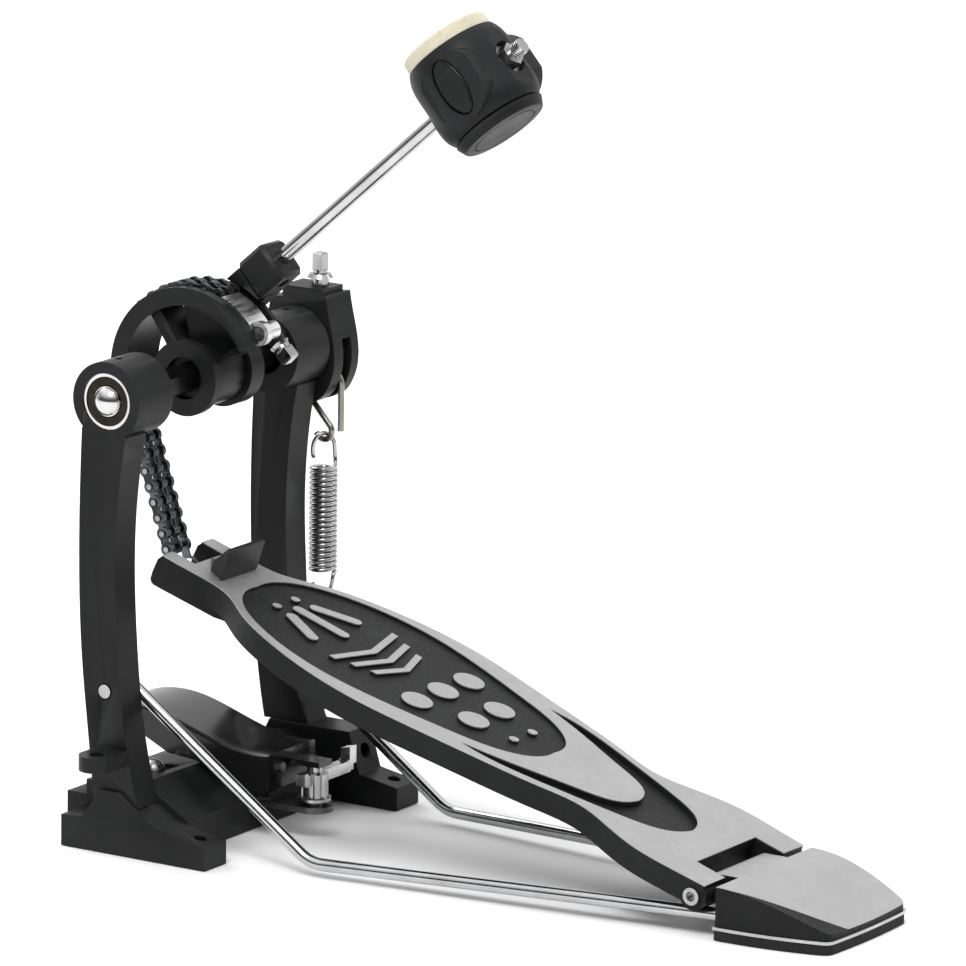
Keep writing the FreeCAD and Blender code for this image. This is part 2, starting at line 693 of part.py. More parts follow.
# ---------------------------------------------------------------- footboard
BOARD_EDGE = [(17.2, 0), (17.2, 20), (18.6, 32), (27.5, 46), (37.0, 66), (42.7, 90),
              (44.0, 112), (41.3, 136), (36.5, 165), (31.0, 193), (27.8, 211), (32.6, 228),
              (36.6, 243), (36.8, 260), (36.0, BOARD_LEN)]
INLAY_EDGE = [(0.0, 35.2), (10.0, 35.9), (17.5, 40), (29.0, 56), (36.0, 80), (37.0, 96),
              (34.5, 118), (28.0, 147), (20.0, 169), (12.0, 177.6), (0.0, 180)]
CRESCENT_OUT = [(31.7, 157), (32.0, 168), (26.5, 197), (19.0, 224), (11.0, 240.5), (0.0, 246)]
CRESCENT_IN = [(31.4, 157), (27.0, 173), (17.5, 200), (9.5, 216.6), (0.0, 220.6)]


def mirrored(points):
    """Half outline from one side to the other, in the board frame."""
    right = [(x, -s, 0) for x, s in points]
    left = [(-x, -s, 0) for x, s in reversed(points)]
    return right, left


def board_blank():
    right, left = mirrored(BOARD_EDGE)
    edges = [curve(right), curve(left), line(right[0], left[-1]), line(right[-1], left[0])]
    blank = face_of(edges)
    blank.translate(V(0, 0, -BOARD_WALL))
    return blank.extrude(V(0, 0, BOARD_WALL))


def closed_inlay(points, depth):
    right, left = mirrored(points)
    shape = face_of([curve(right), curve(left)])
    return shape.extrude(V(0, 0, -depth))


def crescent(depth):
    out_right, out_left = mirrored(CRESCENT_OUT)
    in_right, in_left = mirrored(CRESCENT_IN)
    edges = [curve(out_right), curve(out_left), curve(in_right), curve(in_left),
             line(out_right[0], in_right[0]), line(out_left[-1], in_left[-1])]
    return face_of(edges).extrude(V(0, 0, -depth))


def bar(x, s0, lean, length, width):
    """Raised grip bar, rounded at its ends."""
    r = width / 2
    block = fuse([box(-r, r, -length, 0, -2.0, 0), cyl_z(0, 0, r, -2.0, 0), cyl_z(0, -length, r, -2.0, 0)])
    block.rotate(V(0, 0, 0), V(0, 0, 1), lean)
    block.translate(V(x, -s0, 0))
    return block


def grip_shapes():
    """Raised bars, round pads and dots inside the inlay."""
    shapes = [bar(0, 55.5, 0, 22.0, 4.8)]
    for side in (-1, 1):
        shapes.append(bar(8.2 * side, 58.0, 25 * side, 16.5, 4.8))
        shapes.append(cyl_z(6.4 * side, -49.3, 1.9, -2.0, 0))
        shapes.append(cyl_z(6.6 * side, -165.1, 2.0, -2.0, 0))
        shapes.append(cyl_z(9.15 * side, -147.4, 6.3, -2.0, 0))
    for x in (-18.3, 0, 18.3):
        shapes.append(cyl_z(x, -126.3, 6.3, -2.0, 0))
    for k in range(3):
        shapes.append(chevron(91.0 + 8.0 * k, 22.0 - 3.0 * k))
    return shapes


def chevron(s, half):
    """Shallow arrow pointing at the heel, between the bars and the pads."""
    t = 3.0
    rise = 5.0
    loop = [V(-half, -s + rise, -2.0), V(0, -s, -2.0), V(half, -s + rise, -2.0),
            V(half, -s + rise - t, -2.0), V(0, -s - t, -2.0), V(-half, -s + rise - t, -2.0)]
    return Part.Face(Part.makePolygon(loop + loop[:1])).extrude(V(0, 0, 2.0))


NOSE = [(0.0, -0.5), (1.5, -2.6), (2.2, -8.0), (2.2, -11.6), (1.4, -12.8), (0.0, -13.3), (-4.0, -13.3),
        (-30.0, -12.8), (-43.0, -10.5), (-43.0, -5.0), (-20.0, -5.0), (-20.0, -0.5)]


def footboard():
    """Cast board: hollow under, fork at the toe, two ears at the heel."""
    blank = board_blank()
    right, left = mirrored([(x - 3.4, s) for x, s in BOARD_EDGE[3:12]])
    hollow = face_of([curve(right), curve(left), line(right[0], left[-1]), line(right[-1], left[0])])
    hollow.translate(V(0, 0, -BOARD_WALL - 1))
    hollow = hollow.extrude(V(0, 0, BOARD_WALL + 1 - 4.2))
    board = blank.cut(hollow)
    ribs = [box(-1.2, 1.2, -226.0, -48.0, -8.5, -3.5)]
    for s in (90.0, 140.0, 190.0):
        ribs.append(box(-24.0, 24.0, -s - 1.2, -s + 1.2, -8.5, -3.5))
    board = fuse([board] + ribs)
    board = board.cut(closed_inlay(INLAY_EDGE, 1.3))
    board = board.cut(crescent(2.6))
    board = fuse([board] + grip_shapes())
    notch = box(-FORK_SLOT, FORK_SLOT, -FORK_DEPTH, 5, -20, 5)
    board = board.cut(notch)
    nose = polygon_x(NOSE, -17.2, 17.2)
    nose = nose.cut(box(-FORK_SLOT, FORK_SLOT, -50, 8, -20, -BOARD_WALL))
    nose = nose.cut(box(-FORK_SLOT, FORK_SLOT, -FORK_DEPTH, 8, -20, 5))
    board = fuse([board, nose])
    board = board.cut(box(-HEEL_SLOT, HEEL_SLOT, -BOARD_LEN - 5, -HEEL_SLOT_S, -20, 5))
    board = to_board(board)
    for side in (-1, 1):
        x0, x1 = sorted((side * (HEEL_SLOT + 0.0), side * 35.6))
        ear = cyl_x(HINGE_Y, HINGE_Z, 5.8, x0, x1)
        board = fuse([board, ear])
        seat = sorted((side * PIN_SEAT, side * 40.0))
        board = board.cut(cyl_x(HINGE_Y, HINGE_Z, 3.9, seat[0], seat[1]))
    board = board.cut(cyl_x(HINGE_Y, HINGE_Z, HINGE_PIN_R, -40, 40))
    board = board.cut(cyl_x(CHAIN_FOOT[0], CHAIN_FOOT[1], CHAIN_FOOT_PIN_R, -14.6, 20))
    board = board.cut(stay_room())
    return board.cut(to_board(cyl_z(0, -STOP_SCREW_S, 2.0, -20, 5)))


CHAIN_FOOT_PIN_R = 1.5
STOP_SCREW_S = 21.2
PIN_SEAT = 36.1


def stay_room():
    """Room under the ears for both stay rods over the board's whole swing."""
    rods = []
    for k in range(5):
        for side in (-1, 1):
            a = V(side * 48.0, -84.5, 4.9)
            b = V(side * 29.2, HEEL_REAR - 8.0, 8.9)
            rod = cyl((a.x, a.y, a.z), STAY_R + 0.45, (b - a).Length, tuple(b - a))
            rod.rotate(V(0, HINGE_Y, HINGE_Z), V(1, 0, 0), 1.65 * k)
            rods.append(rod.common(box(-60, 60, -275, -225, -20, 40)))
    return fuse(rods)


def chain_foot_pin():
    """Plain cross pin pressed into the fork."""
    return cyl_x(CHAIN_FOOT[0], CHAIN_FOOT[1], CHAIN_FOOT_PIN_R, -14.6, 16.4)


def hinge_pin():
    """Hinge pin with a hollow rolled rim at each end."""
    pin = cyl_x(HINGE_Y, HINGE_Z, HINGE_PIN_R, -PIN_SEAT, PIN_SEAT)
    for side in (-1, 1):
        x0, x1 = sorted((side * PIN_SEAT, side * (PIN_SEAT + 1.1)))
        pin = fuse([pin, ring_x(HINGE_Y, HINGE_Z, 1.9, 3.4, x0, x1)])
        hollow = sorted((side * (PIN_SEAT - 1.6), side * (PIN_SEAT + 1.0)))
        pin = pin.cut(cyl_x(HINGE_Y, HINGE_Z, 1.9, hollow[0], hollow[1]))
    return pin


def toe_stop():
    """Wedge that stops the toe: square face to the player, pointed to the tip."""
    half = 12.3
    loop = [V(-half, -25.7, 0), V(half, -25.7, 0), V(half * 0.72, -18.0, 0), V(0, -11.7, 0),
            V(-half * 0.72, -18.0, 0)]
    stop = Part.Face(Part.makePolygon(loop + loop[:1])).extrude(V(0, 0, 13.2))
    slope = polygon_x([(-24.4, 14.0), (-8.0, 14.0), (-8.0, 0.9), (-12.5, 0.9), (-17.2, 3.4)], -20, 20)
    stop = stop.cut(slope)
    return to_board(stop.cut(cyl_z(0, -STOP_SCREW_S, 1.95, -1, 6)))


def toe_stop_screw():
    screw = fuse([cyl_z(0, -STOP_SCREW_S, 1.9, -4.4, 5.8), cyl_z(0, -STOP_SCREW_S, 3.6, -13.2, -10.0),
                  cyl_z(0, -STOP_SCREW_S, 1.9, -10.2, -4.2)])
    return to_board(screw)


# ---------------------------------------------------------------- beater
def beater_rod():
    return to_beater(cyl_z(ROD_X, ROD_N, ROD_R, ROD_START, ROD_END))


def head_body():
    """Moulded core: a barrel across the rod, a side panel each side, a nut recess."""
    n0, n1 = 0.8, 33.6
    profile = [(n0, 18.6), (n0 + 2.2, 20.2), (17.0, 21.2), (n1 - 2.6, 20.2), (n1, 19.0)]
    edges = [curve([(0, r, n) for n, r in profile]),
             line((0, 0, n0), (0, profile[0][1], n0)),
             line((0, 0, n1), (0, profile[-1][1], n1)),
             line((0, 0, n0), (0, 0, n1))]
    barrel = face_of(edges).revolve(V(0, 0, 0), V(0, 0, 1), 360)
    barrel.rotate(V(0, 0, 0), V(1, 0, 0), -90)
    barrel.translate(V(ROD_X, 0, HEAD_D))
    neck = cyl((ROD_X, -1.4, HEAD_D), 17.2, 4.0, (0, 1, 0))
    panel = cyl_x(17.2, PANEL_D, 14.4, ROD_X - PANEL_X, ROD_X + PANEL_X)
    panel = panel.common(box(-20, 50, n0 + 1.4, n1 - 1.6, PANEL_D - 12.8, PANEL_D + 12.8))
    body = fuse([barrel, neck, panel])
    body = body.common(box(-30, 60, -10, 60, HEAD_D - 20.6, HEAD_D + 20.6))
    for side in (-1, 1):
        body = body.cut(oval_prism(12.0, 6.3, ROD_X + side * (PANEL_X - 1.2), ROD_X + side * 26.0))
    body = body.cut(cyl_z(ROD_X, ROD_N, ROD_R + FIT, HEAD_D - 30, HEAD_D + 30))
    recess = cyl_z(ROD_X, ROD_N, 7.0, HEAD_D + 16.6, HEAD_D + 30)
    return to_beater(body.cut(recess))


def oval_prism(long_half, short_half, xa, xb):
    x0, x1 = min(xa, xb), max(xa, xb)
    ellipse = Part.Ellipse(V(x0, 0, 0), long_half, short_half).toShape()
    face = Part.Face(Part.Wire(ellipse))
    face.rotate(V(x0, 0, 0), V(0, 1, 0), 90)
    face.rotate(V(x0, 0, 0), V(1, 0, 0), 90)
    face.translate(V(0, 17.2, PANEL_D))
    return face.extrude(V(x1 - x0, 0, 0))


def head_inserts():
    """Low oval inserts with a rounded rim, one in each side panel."""
    inserts = []
    for side in (-1, 1):
        face_x = ROD_X + side * (PANEL_X + 0.5)
        insert = oval_prism(11.6, 5.9, ROD_X + side * (PANEL_X - 1.15), face_x)
        rim = [e for e in insert.Edges if abs(e.BoundBox.XMin - face_x) < 0.01 and e.BoundBox.XLength < 0.01]
        inserts.append(insert.makeFillet(0.9, rim))
    return to_beater(Part.makeCompound(inserts))


def head_felt():
    disc = cyl((ROD_X, 33.65, HEAD_D), 18.3, 5.6, (0, 1, 0))
    disc = disc.makeFillet(1.3, [e for e in disc.Edges if e.BoundBox.YMin > 39])
    return to_beater(disc)


def head_cap():
    """Hard striking cap: tapered, with a rounded edge and a fine ring groove."""
    disc = Part.makeCone(17.4, 19.2, 3.8, V(ROD_X, -3.8, HEAD_D), V(0, 1, 0))
    disc = disc.makeFillet(1.3, [e for e in disc.Edges if e.BoundBox.YMax < -3.6])
    groove = cyl((ROD_X, -4.0, HEAD_D), 13.6, 0.6, (0, 1, 0)).cut(cyl((ROD_X, -5.0, HEAD_D), 13.0, 3, (0, 1, 0)))
    return to_beater(disc.cut(groove).cut(cyl((ROD_X, -1.4, HEAD_D), 17.25, 4.0, (0, 1, 0))))


def head_nut():
    """Hexagon nut over a washer on the rod's threaded end."""
    nut = hexagon_x(0, 0, 8.6, 0, 4.6)
    nut.rotate(V(0, 0, 0), V(0, 1, 0), -90)
    nut.translate(V(ROD_X, ROD_N, HEAD_D + 18.0))
    washer = cyl_z(ROD_X, ROD_N, 6.6, HEAD_D + 16.7, HEAD_D + 18.0)
    return to_beater(fuse([nut, washer]).cut(cyl_z(ROD_X, ROD_N, ROD_R + FIT, HEAD_D, 220)))


# ---------------------------------------------------------------- spring side
def spring_hook():
    """Wire hook over the rocker's saddle, with a curl that carries the spring."""
    y0, y1 = SADDLE_Y - HOOK_R, SADDLE_Y + HOOK_R
    x = SPRING_X
    a = V(x, y0, 143.0)
    b = V(x, y0, SADDLE_Z)
    top = V(x, SADDLE_Y, SADDLE_Z + HOOK_R)
    c = V(x, y1, SADDLE_Z)
    d = V(x, y1, 153.0)
    path = [Part.LineSegment(a, b).toShape(), Part.Arc(b, top, c).toShape(),
            Part.LineSegment(c, d).toShape()]
    upper = tube_along(path, a, (0, 0, 1), HOOK_WIRE_R)
    r = 3.7
    centre = V(x, SPRING_Y, CURL_Z + r)
    half = math.radians(28)
    e = centre + V(0, -r * math.cos(half), r * math.sin(half))
    low = V(x, SPRING_Y, CURL_Z)
    f = centre + V(0, r * math.cos(0.35), -r * math.sin(0.35))
    bend = [Part.LineSegment(d, e).toShape(), Part.Arc(e, low, f).toShape()]
    lower = tube_along(bend, d, tuple(e - d), HOOK_WIRE_R)
    knee = Part.makeSphere(HOOK_WIRE_R, d)
    return fuse([upper, knee, lower])


def loop_of_wire(r, half, z_open, z_end, turn):
    """U of wire that opens at z_open and closes in a half circle at z_end."""
    up = 1 if z_end > z_open else -1
    z_arc = z_end - up * half
    a = V(half, 0, z_open)
    b = V(half, 0, z_arc)
    c = V(-half, 0, z_arc)
    d = V(-half, 0, z_open)
    path = [Part.LineSegment(a, b).toShape(),
            Part.Arc(b, V(0, 0, z_end), c).toShape(),
            Part.LineSegment(c, d).toShape()]
    loop = tube_along(path, a, (0, 0, 1), r)
    loop.rotate(V(0, 0, 0), V(0, 0, 1), turn)
    loop.translate(V(SPRING_X, SPRING_Y, 0))
    return loop


def tension_spring():
    """Close-wound coil as a grooved sleeve, with a loop of wire at each end."""
    outline = [V(COIL_R - COIL_WIRE_R, 0, COIL_BOTTOM), V(COIL_R, 0, COIL_BOTTOM)]
    turns = 22
    pitch = (COIL_TOP - COIL_BOTTOM) / turns
    for k in range(turns):
        outline.append(V(COIL_R + COIL_WIRE_R, 0, COIL_BOTTOM + pitch * (k + 0.5)))
        outline.append(V(COIL_R + 0.1, 0, COIL_BOTTOM + pitch * (k + 1)))
    outline.append(V(COIL_R - COIL_WIRE_R, 0, COIL_TOP))
    coil = Part.Face(Part.makePolygon(outline + outline[:1])).revolve(V(0, 0, 0), V(0, 0, 1), 360)
    coil.translate(V(SPRING_X, SPRING_Y, 0))
    top = loop_of_wire(COIL_WIRE_R, 4.5, COIL_TOP - 1.5, CURL_Z + 2.5, -37)
    bottom = loop_of_wire(COIL_WIRE_R, 4.5, COIL_BOTTOM + 1.5, EYE_Z + 1.2, 90)
    return fuse([coil, top, bottom])


CURL_Z = 138.6


def eye_bolt():
    """Threaded bolt through the side tab; its eye takes the spring's lower loop."""
    shank = cyl_z(SPRING_X, EYE_Y, 2.5, 22.0, 68.6)
    eye = Part.makeTorus(4.0, 1.6, V(SPRING_X, EYE_Y, EYE_Z), V(0, 1, 0))
    return fuse([shank, eye])


def tension_nut(z0, z1, r):
    """Round nut with a fluted rim."""
    nut = cyl_z(SPRING_X, EYE_Y, r, z0, z1)
    for k in range(18):
        a = 2 * math.pi * k / 18
        x = SPRING_X + (r + 0.35) * math.cos(a)
        y = EYE_Y + (r + 0.35) * math.sin(a)
        nut = nut.cut(cyl_z(x, y, 0.7, z0 - 1, z1 + 1))
    return nut.cut(cyl_z(SPRING_X, EYE_Y, 2.5 + FIT, z0 - 1, z1 + 1))


# ---------------------------------------------------------------- hoop clamp
def lever_face(x, drop):
    """Side view of the arched lever, its underside drop below its top."""
    top = [(-43.0, 34.5), (-20.0, 36.3), (-5.0, 41.0), (14.0, 45.6), (29.0, 44.8), (39.5, 41.2)]
    under = [(y, z - drop) for y, z in top]
    edges = [curve([(x,) + p for p in top]), curve([(x,) + p for p in under]),
             line((x,) + top[0], (x,) + under[0]), line((x,) + top[-1], (x,) + under[-1])]
    return face_of(edges)


def hoop_lever():
    """Arched clamp lever with side walls and the tongue over the wing bolt."""
    plate = lever_face(-LEVER_HALF, 3.0).extrude(V(2 * LEVER_HALF, 0, 0))
    wall_outline = [(-43.0, 33.0), (-42.0, 17.5), (-32.0, 17.5), (-30.0, 20.0), (-9.0, 27.6), (4.0, 28.6),
                    (20.0, 36.0), (38.5, 38.6), (36.0, 40.6), (14.0, 43.6), (-5.0, 39.0), (-20.0, 34.6)]
    walls = [polygon_x(wall_outline, x, x + LEVER_WALL)
             for x in (-LEVER_HALF, LEVER_HALF - LEVER_WALL)]
    tongue = box(-4.5, 4.5, -59.0, -41.0, 29.2, 31.4)
    web = box(-LEVER_HALF, LEVER_HALF, -43.0, -40.4, 20.0, 33.6)
    lever = fuse([plate] + walls + [tongue, web])
    y, z = LEVER_PIVOT
    lever = lever.cut(cyl_x(y, z, LEVER_PIN_R, -20, 20))
    lever = lever.cut(cyl_y(-8.0, 28.6, 1.2, -45.0, -36.0))
    return rounded(lever, 1.2, lambda e: along(e, 0) is False and e.BoundBox.ZMax > 40
                   and abs(abs(e.BoundBox.XMin) - LEVER_HALF) < 0.01 and e.BoundBox.XLength < 0.01
                   and e.BoundBox.YLength > 60 and e.BoundBox.ZMin > 33)


def lever_pin():
    y, z = LEVER_PIVOT
    return cyl_x(y, z, LEVER_PIN_R, -LEVER_HALF + 0.2, LEVER_HALF - 0.2)


def lever_screw():
    return fuse([cyl_y(-8.0, 28.6, 1.2, -44.0, -38.5), cyl_y(-8.0, 28.6, 1.9, -44.5, -43.0)])


def wing_bolt():
    """Vertical clamp bolt with a fluted hub and a cross handle."""
    shank = cyl_z(0, WING_Y, 3.0, 10.6, 28.6)
    hub = cyl_z(0, WING_Y, 5.4, 15.3, 26.0)
    hub = fuse([hub, cyl_z(0, WING_Y, 6.6, 15.3, 16.4)])
    for k in range(8):
        a = 2 * math.pi * (k + 0.5) / 8
        hub = hub.cut(cyl_z(6.0 * math.cos(a), WING_Y + 6.0 * math.sin(a), 1.3, 16.4, 28))
    handle = box(-9.0, 22.0, WING_Y - 2.2, WING_Y + 2.2, 22.0, 26.4)
    tip = polygon_x([(WING_Y - 2.2, 25.0), (WING_Y + 2.2, 25.0), (WING_Y + 2.2, 31.0), (WING_Y - 2.2, 32.0)],
                    21.4, 26.0)
    heel = polygon_x([(WING_Y - 2.2, 22.6), (WING_Y + 2.2, 22.6), (WING_Y + 2.2, 27.0), (WING_Y - 2.2, 27.4)],
                     -10.0, -7.5)
    bridge = box(20.0, 24.0, WING_Y - 2.2, WING_Y + 2.2, 22.6, 26.8)
    return fuse([shank, hub, handle, bridge, tip, heel])


# ---------------------------------------------------------------- assembly
def build():
    nodes = {
        "left_post": left_post(),
        "right_post": right_post(),
        "left_foot": left_foot(),
        "right_foot": right_foot(),
        "base_crossbar": base_crossbar(),
        "crossbar_screws": crossbar_screws(),
        "clamp_plate": clamp_plate(),
        "hub_screws": hub_screws(),
        "left_stay": stay(-1),
        "right_stay": stay(1),
        "stay_screws": stay_screws(),
        "heel_block": heel_block(),
        "heel_plate": heel_plate(),
        "heel_pad": heel_pad(),
        "heel_screws": heel_screws(),
        "left_bearing_outer": outer_ring(-1),
        "right_bearing_outer": outer_ring(1),
        "left_bearing_inner": inner_ring(-1),
        "right_bearing_inner": inner_ring(1),
        "left_bearing_balls": bearing_balls(-1),
        "right_bearing_balls": bearing_balls(1),
        "left_bearing_shield": bearing_shield(-1),
        "right_bearing_shield": bearing_shield(1),
        "axle": axle(),
        "drive_wheel": drive_wheel(),
        "beater_holder": beater_holder(),
        "beater_set_screw": beater_set_screw(),
        "chain_strap": chain_strap(),
        "strap_clamp": strap_clamp(),
        "strap_screw": strap_screw(),
        "holder_key_bolt": holder_key_bolt(),
        "spring_rocker": rocker(),
        "rocker_key_bolt": rocker_key_bolt(),
        "chain_wrapped": chain_wrapped(),
        "chain_upper_links": chain_pair(3),
        "chain_lower_links": chain_pair(1),
        "chain_span": chain_span(),
        "chain_end_plates": chain_end(),
        "footboard": footboard(),
        "chain_foot_pin": chain_foot_pin(),
        "hinge_pin": hinge_pin(),
        "toe_stop": toe_stop(),
        "toe_stop_screw": toe_stop_screw(),
        "beater_rod": beater_rod(),
        "beater_head_body": head_body(),
        "beater_head_inserts": head_inserts(),
        "beater_felt": head_felt(),
        "beater_cap": head_cap(),
        "beater_nut": head_nut(),
        "spring_hook": spring_hook(),
        "tension_spring": tension_spring(),
        "eye_bolt": eye_bolt(),
        "tension_nut": tension_nut(29.5, 35.7, 6.5),
        "lock_nut": tension_nut(42.3, 46.5, 5.0),
        "hoop_lever": hoop_lever(),
        "lever_pin": lever_pin(),
        "lever_screw": lever_screw(),
        "wing_bolt": wing_bolt(),
    }
    return nodes


os.makedirs("parts", exist_ok=True)
for name, shape in build().items():
    export(shape, name)
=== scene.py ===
import json
import math

import bmesh
import bpy
from mathutils import Matrix, Vector

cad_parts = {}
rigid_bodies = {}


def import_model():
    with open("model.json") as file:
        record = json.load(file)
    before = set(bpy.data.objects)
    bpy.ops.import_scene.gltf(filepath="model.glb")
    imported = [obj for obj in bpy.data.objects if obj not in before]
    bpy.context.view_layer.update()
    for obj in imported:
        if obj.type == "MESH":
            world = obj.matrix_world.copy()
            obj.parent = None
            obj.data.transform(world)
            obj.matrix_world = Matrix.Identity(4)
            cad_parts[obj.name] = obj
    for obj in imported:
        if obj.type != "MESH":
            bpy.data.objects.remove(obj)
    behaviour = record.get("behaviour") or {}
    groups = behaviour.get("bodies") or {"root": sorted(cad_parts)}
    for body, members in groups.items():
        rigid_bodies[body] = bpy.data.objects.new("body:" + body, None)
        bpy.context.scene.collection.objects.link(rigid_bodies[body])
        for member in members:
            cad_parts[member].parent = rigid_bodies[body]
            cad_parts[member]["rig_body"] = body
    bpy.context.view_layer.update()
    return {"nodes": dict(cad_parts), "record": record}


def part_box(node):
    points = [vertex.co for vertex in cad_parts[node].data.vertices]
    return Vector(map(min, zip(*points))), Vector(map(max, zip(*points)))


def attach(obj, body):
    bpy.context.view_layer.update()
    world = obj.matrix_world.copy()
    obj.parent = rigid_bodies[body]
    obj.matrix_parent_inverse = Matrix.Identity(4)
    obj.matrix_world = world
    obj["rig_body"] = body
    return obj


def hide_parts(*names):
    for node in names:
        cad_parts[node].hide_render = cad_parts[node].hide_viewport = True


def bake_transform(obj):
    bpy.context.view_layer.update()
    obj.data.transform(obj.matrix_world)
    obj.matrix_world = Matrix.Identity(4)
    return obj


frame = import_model()
MM = 0.001

# Places in the pedal, in millimetres and radians.
AXLE_Z = 178.4
BOARD_TIP = (6.69, 107.94)  # y, z
BOARD_SLOPE = math.radians(18.5)
ROD_LEAN = math.radians(48.76)
BEATER_ROD = (12.5, 16.7)  # across the beater's own frame, from the axle
ROD_RADIUS = 3.0
ROD_THREAD_START = 192.2
ROD_THREAD_LENGTH = 4.4
EYE_BOLT_FOOT = (77.0, -4.4, 23.2)
EYE_BOLT_RADIUS = 2.5
EYE_THREAD_LENGTH = 38.0
THREAD_PITCH = 0.9
AXLE_BRIGHT_FROM = 59.5
CHAIN_RIVET_FROM = 6.55

# The wound spring, in millimetres and radians: coil ends, ring, and the lower hook's y, z run.
SPRING_WIRE = 0.9
SPRING_COIL = 4.95
COIL_LOW, COIL_HIGH = 84.6, 128.0
COIL_TURNS = 21
RING_Z = 134.6
RING_WIDE, RING_TALL = 4.6, 6.5
RING_TURN = math.radians(-40)
LOWER_HOOK = (
    (-0.8, 79.6), (-0.75, 77.6), (-1.2, 75.6), (-2.6, 74.1), (-4.4, 73.75), (-6.0, 73.9),
    (-7.6, 74.7), (-9.0, 76.4), (-9.9, 78.8), (-10.4, 81.4), (-10.45, 83.4),
)

# The black shoulder along the heel's left edge, in metres: it starts just behind the hinge and
# widens to the heel's rear.
SHOULDER_FRONT_Y = -0.260
SHOULDER_REAR_Y = -0.305
SHOULDER_EDGE = 0.0358
SHOULDER_REACH = 0.020
SHOULDER_BOW = 1.6

# The photograph's camera, in degrees, metres and pixels.
CAMERA_AZIMUTH = -57.4
CAMERA_ELEVATION = 12.95
CAMERA_ROLL = 0.8
CAMERA_TARGET = Vector((0.03114, -0.11, 0.14349))
CAMERA_DISTANCE = 3.5172
CAMERA_FOCAL_PX = 9110.0
IMAGE_PX = 966.0
SENSOR_MM = 36.0


# ------------------------------------------------------------------ node helpers
class Nodes:
    """Builds one procedural material."""

    def __init__(self, name):
        self.mat = bpy.data.materials.new(name)
        self.mat.use_nodes = True
        self.tree = self.mat.node_tree
        self.bsdf = self.tree.nodes["Principled BSDF"]
        self.coord = self.add("ShaderNodeTexCoord").outputs["Object"]
        self.normal = None

    def add(self, kind, **values):
        node = self.tree.nodes.new(kind)
        for key, value in values.items():
            setattr(node, key, value)
        return node

    def link(self, a, b):
        self.tree.links.new(a, b)

    def put(self, value, socket):
        """Sets a socket to a plain value, or links another socket to it."""
        if isinstance(value, (int, float, tuple)):
            socket.default_value = value
        else:
            self.link(value, socket)

    def math(self, op, a, b=0.0):
        node = self.add("ShaderNodeMath", operation=op)
        self.put(a, node.inputs[0])
        self.put(b, node.inputs[1])
        return node.outputs[0]

    def axes(self):
        """The surface's own x, y and z, in metres from the origin at rest."""
        node = self.add("ShaderNodeSeparateXYZ")
        self.link(self.coord, node.inputs[0])
        return node.outputs

    def scaled(self, scale):
        """Coordinates stretched by a scale for each axis, for streaks and fibres."""
        node = self.add("ShaderNodeMapping")
        self.link(self.coord, node.inputs["Vector"])
        node.inputs["Scale"].default_value = scale
        return node.outputs[0]

    def noise(self, scale, detail=3.0, rough=0.55, vector=None):
        node = self.add("ShaderNodeTexNoise")
        node.inputs["Scale"].default_value = scale
        node.inputs["Detail"].default_value = detail
        node.inputs["Roughness"].default_value = rough
        self.link(vector or self.coord, node.inputs["Vector"])
        return node.outputs["Fac"]

    def voronoi(self, scale):
        node = self.add("ShaderNodeTexVoronoi")
        node.inputs["Scale"].default_value = scale
        self.link(self.coord, node.inputs["Vector"])
        return node.outputs["Distance"]

    def remap(self, value, a, b, low, high):
        """Takes a to b onto low to high, clamped."""
        node = self.add("ShaderNodeMapRange")
        self.link(value, node.inputs["Value"])
        for key, number in zip(("From Min", "From Max", "To Min", "To Max"), (a, b, low, high)):
            node.inputs[key].default_value = number
        return node.outputs["Result"]

    def blend(self, fac, a, b):
        node = self.add("ShaderNodeMix", data_type="RGBA")
        self.put(fac, node.inputs[0])
        self.put(a, node.inputs[6])
        self.put(b, node.inputs[7])
        return node.outputs[2]

    def number_blend(self, fac, a, b):
        node = self.add("ShaderNodeMix", data_type="FLOAT")
        self.put(fac, node.inputs[0])
        self.put(a, node.inputs[2])
        self.put(b, node.inputs[3])
        return node.outputs[0]

    def bump(self, height, depth_mm, strength=1.0):
        """Adds a bump on top of the ones before."""
        node = self.add("ShaderNodeBump")
        node.inputs["Strength"].default_value = strength
        node.inputs["Distance"].default_value = depth_mm * MM
        self.link(height, node.inputs["Height"])
        if self.normal is not None:
            self.link(self.normal, node.inputs["Normal"])
        self.normal = node.outputs["Normal"]

    def edges(self, low=0.52, high=0.6):
        """Fades up along convex edges."""
        geometry = self.add("ShaderNodeNewGeometry")
        return self.remap(geometry.outputs["Pointiness"], low, high, 0.0, 1.0)

    def finish(self, colour, rough, metal=0.0, **extra):
        """Fills the shader's sockets and gives the material."""
        self.put(colour, self.bsdf.inputs["Base Color"])
        self.put(rough, self.bsdf.inputs["Roughness"])
        self.put(metal, self.bsdf.inputs["Metallic"])
        for key, value in extra.items():
            self.put(value, self.bsdf.inputs[key.replace("_", " ")])
        if self.normal is not None:
            self.link(self.normal, self.bsdf.inputs["Normal"])
        return self.mat


def grey(v, tint=0.0):
    """A grey level, a little bluer for a positive tint."""
    return (v, v * (1 + tint * 0.4), v * (1 + tint), 1.0)


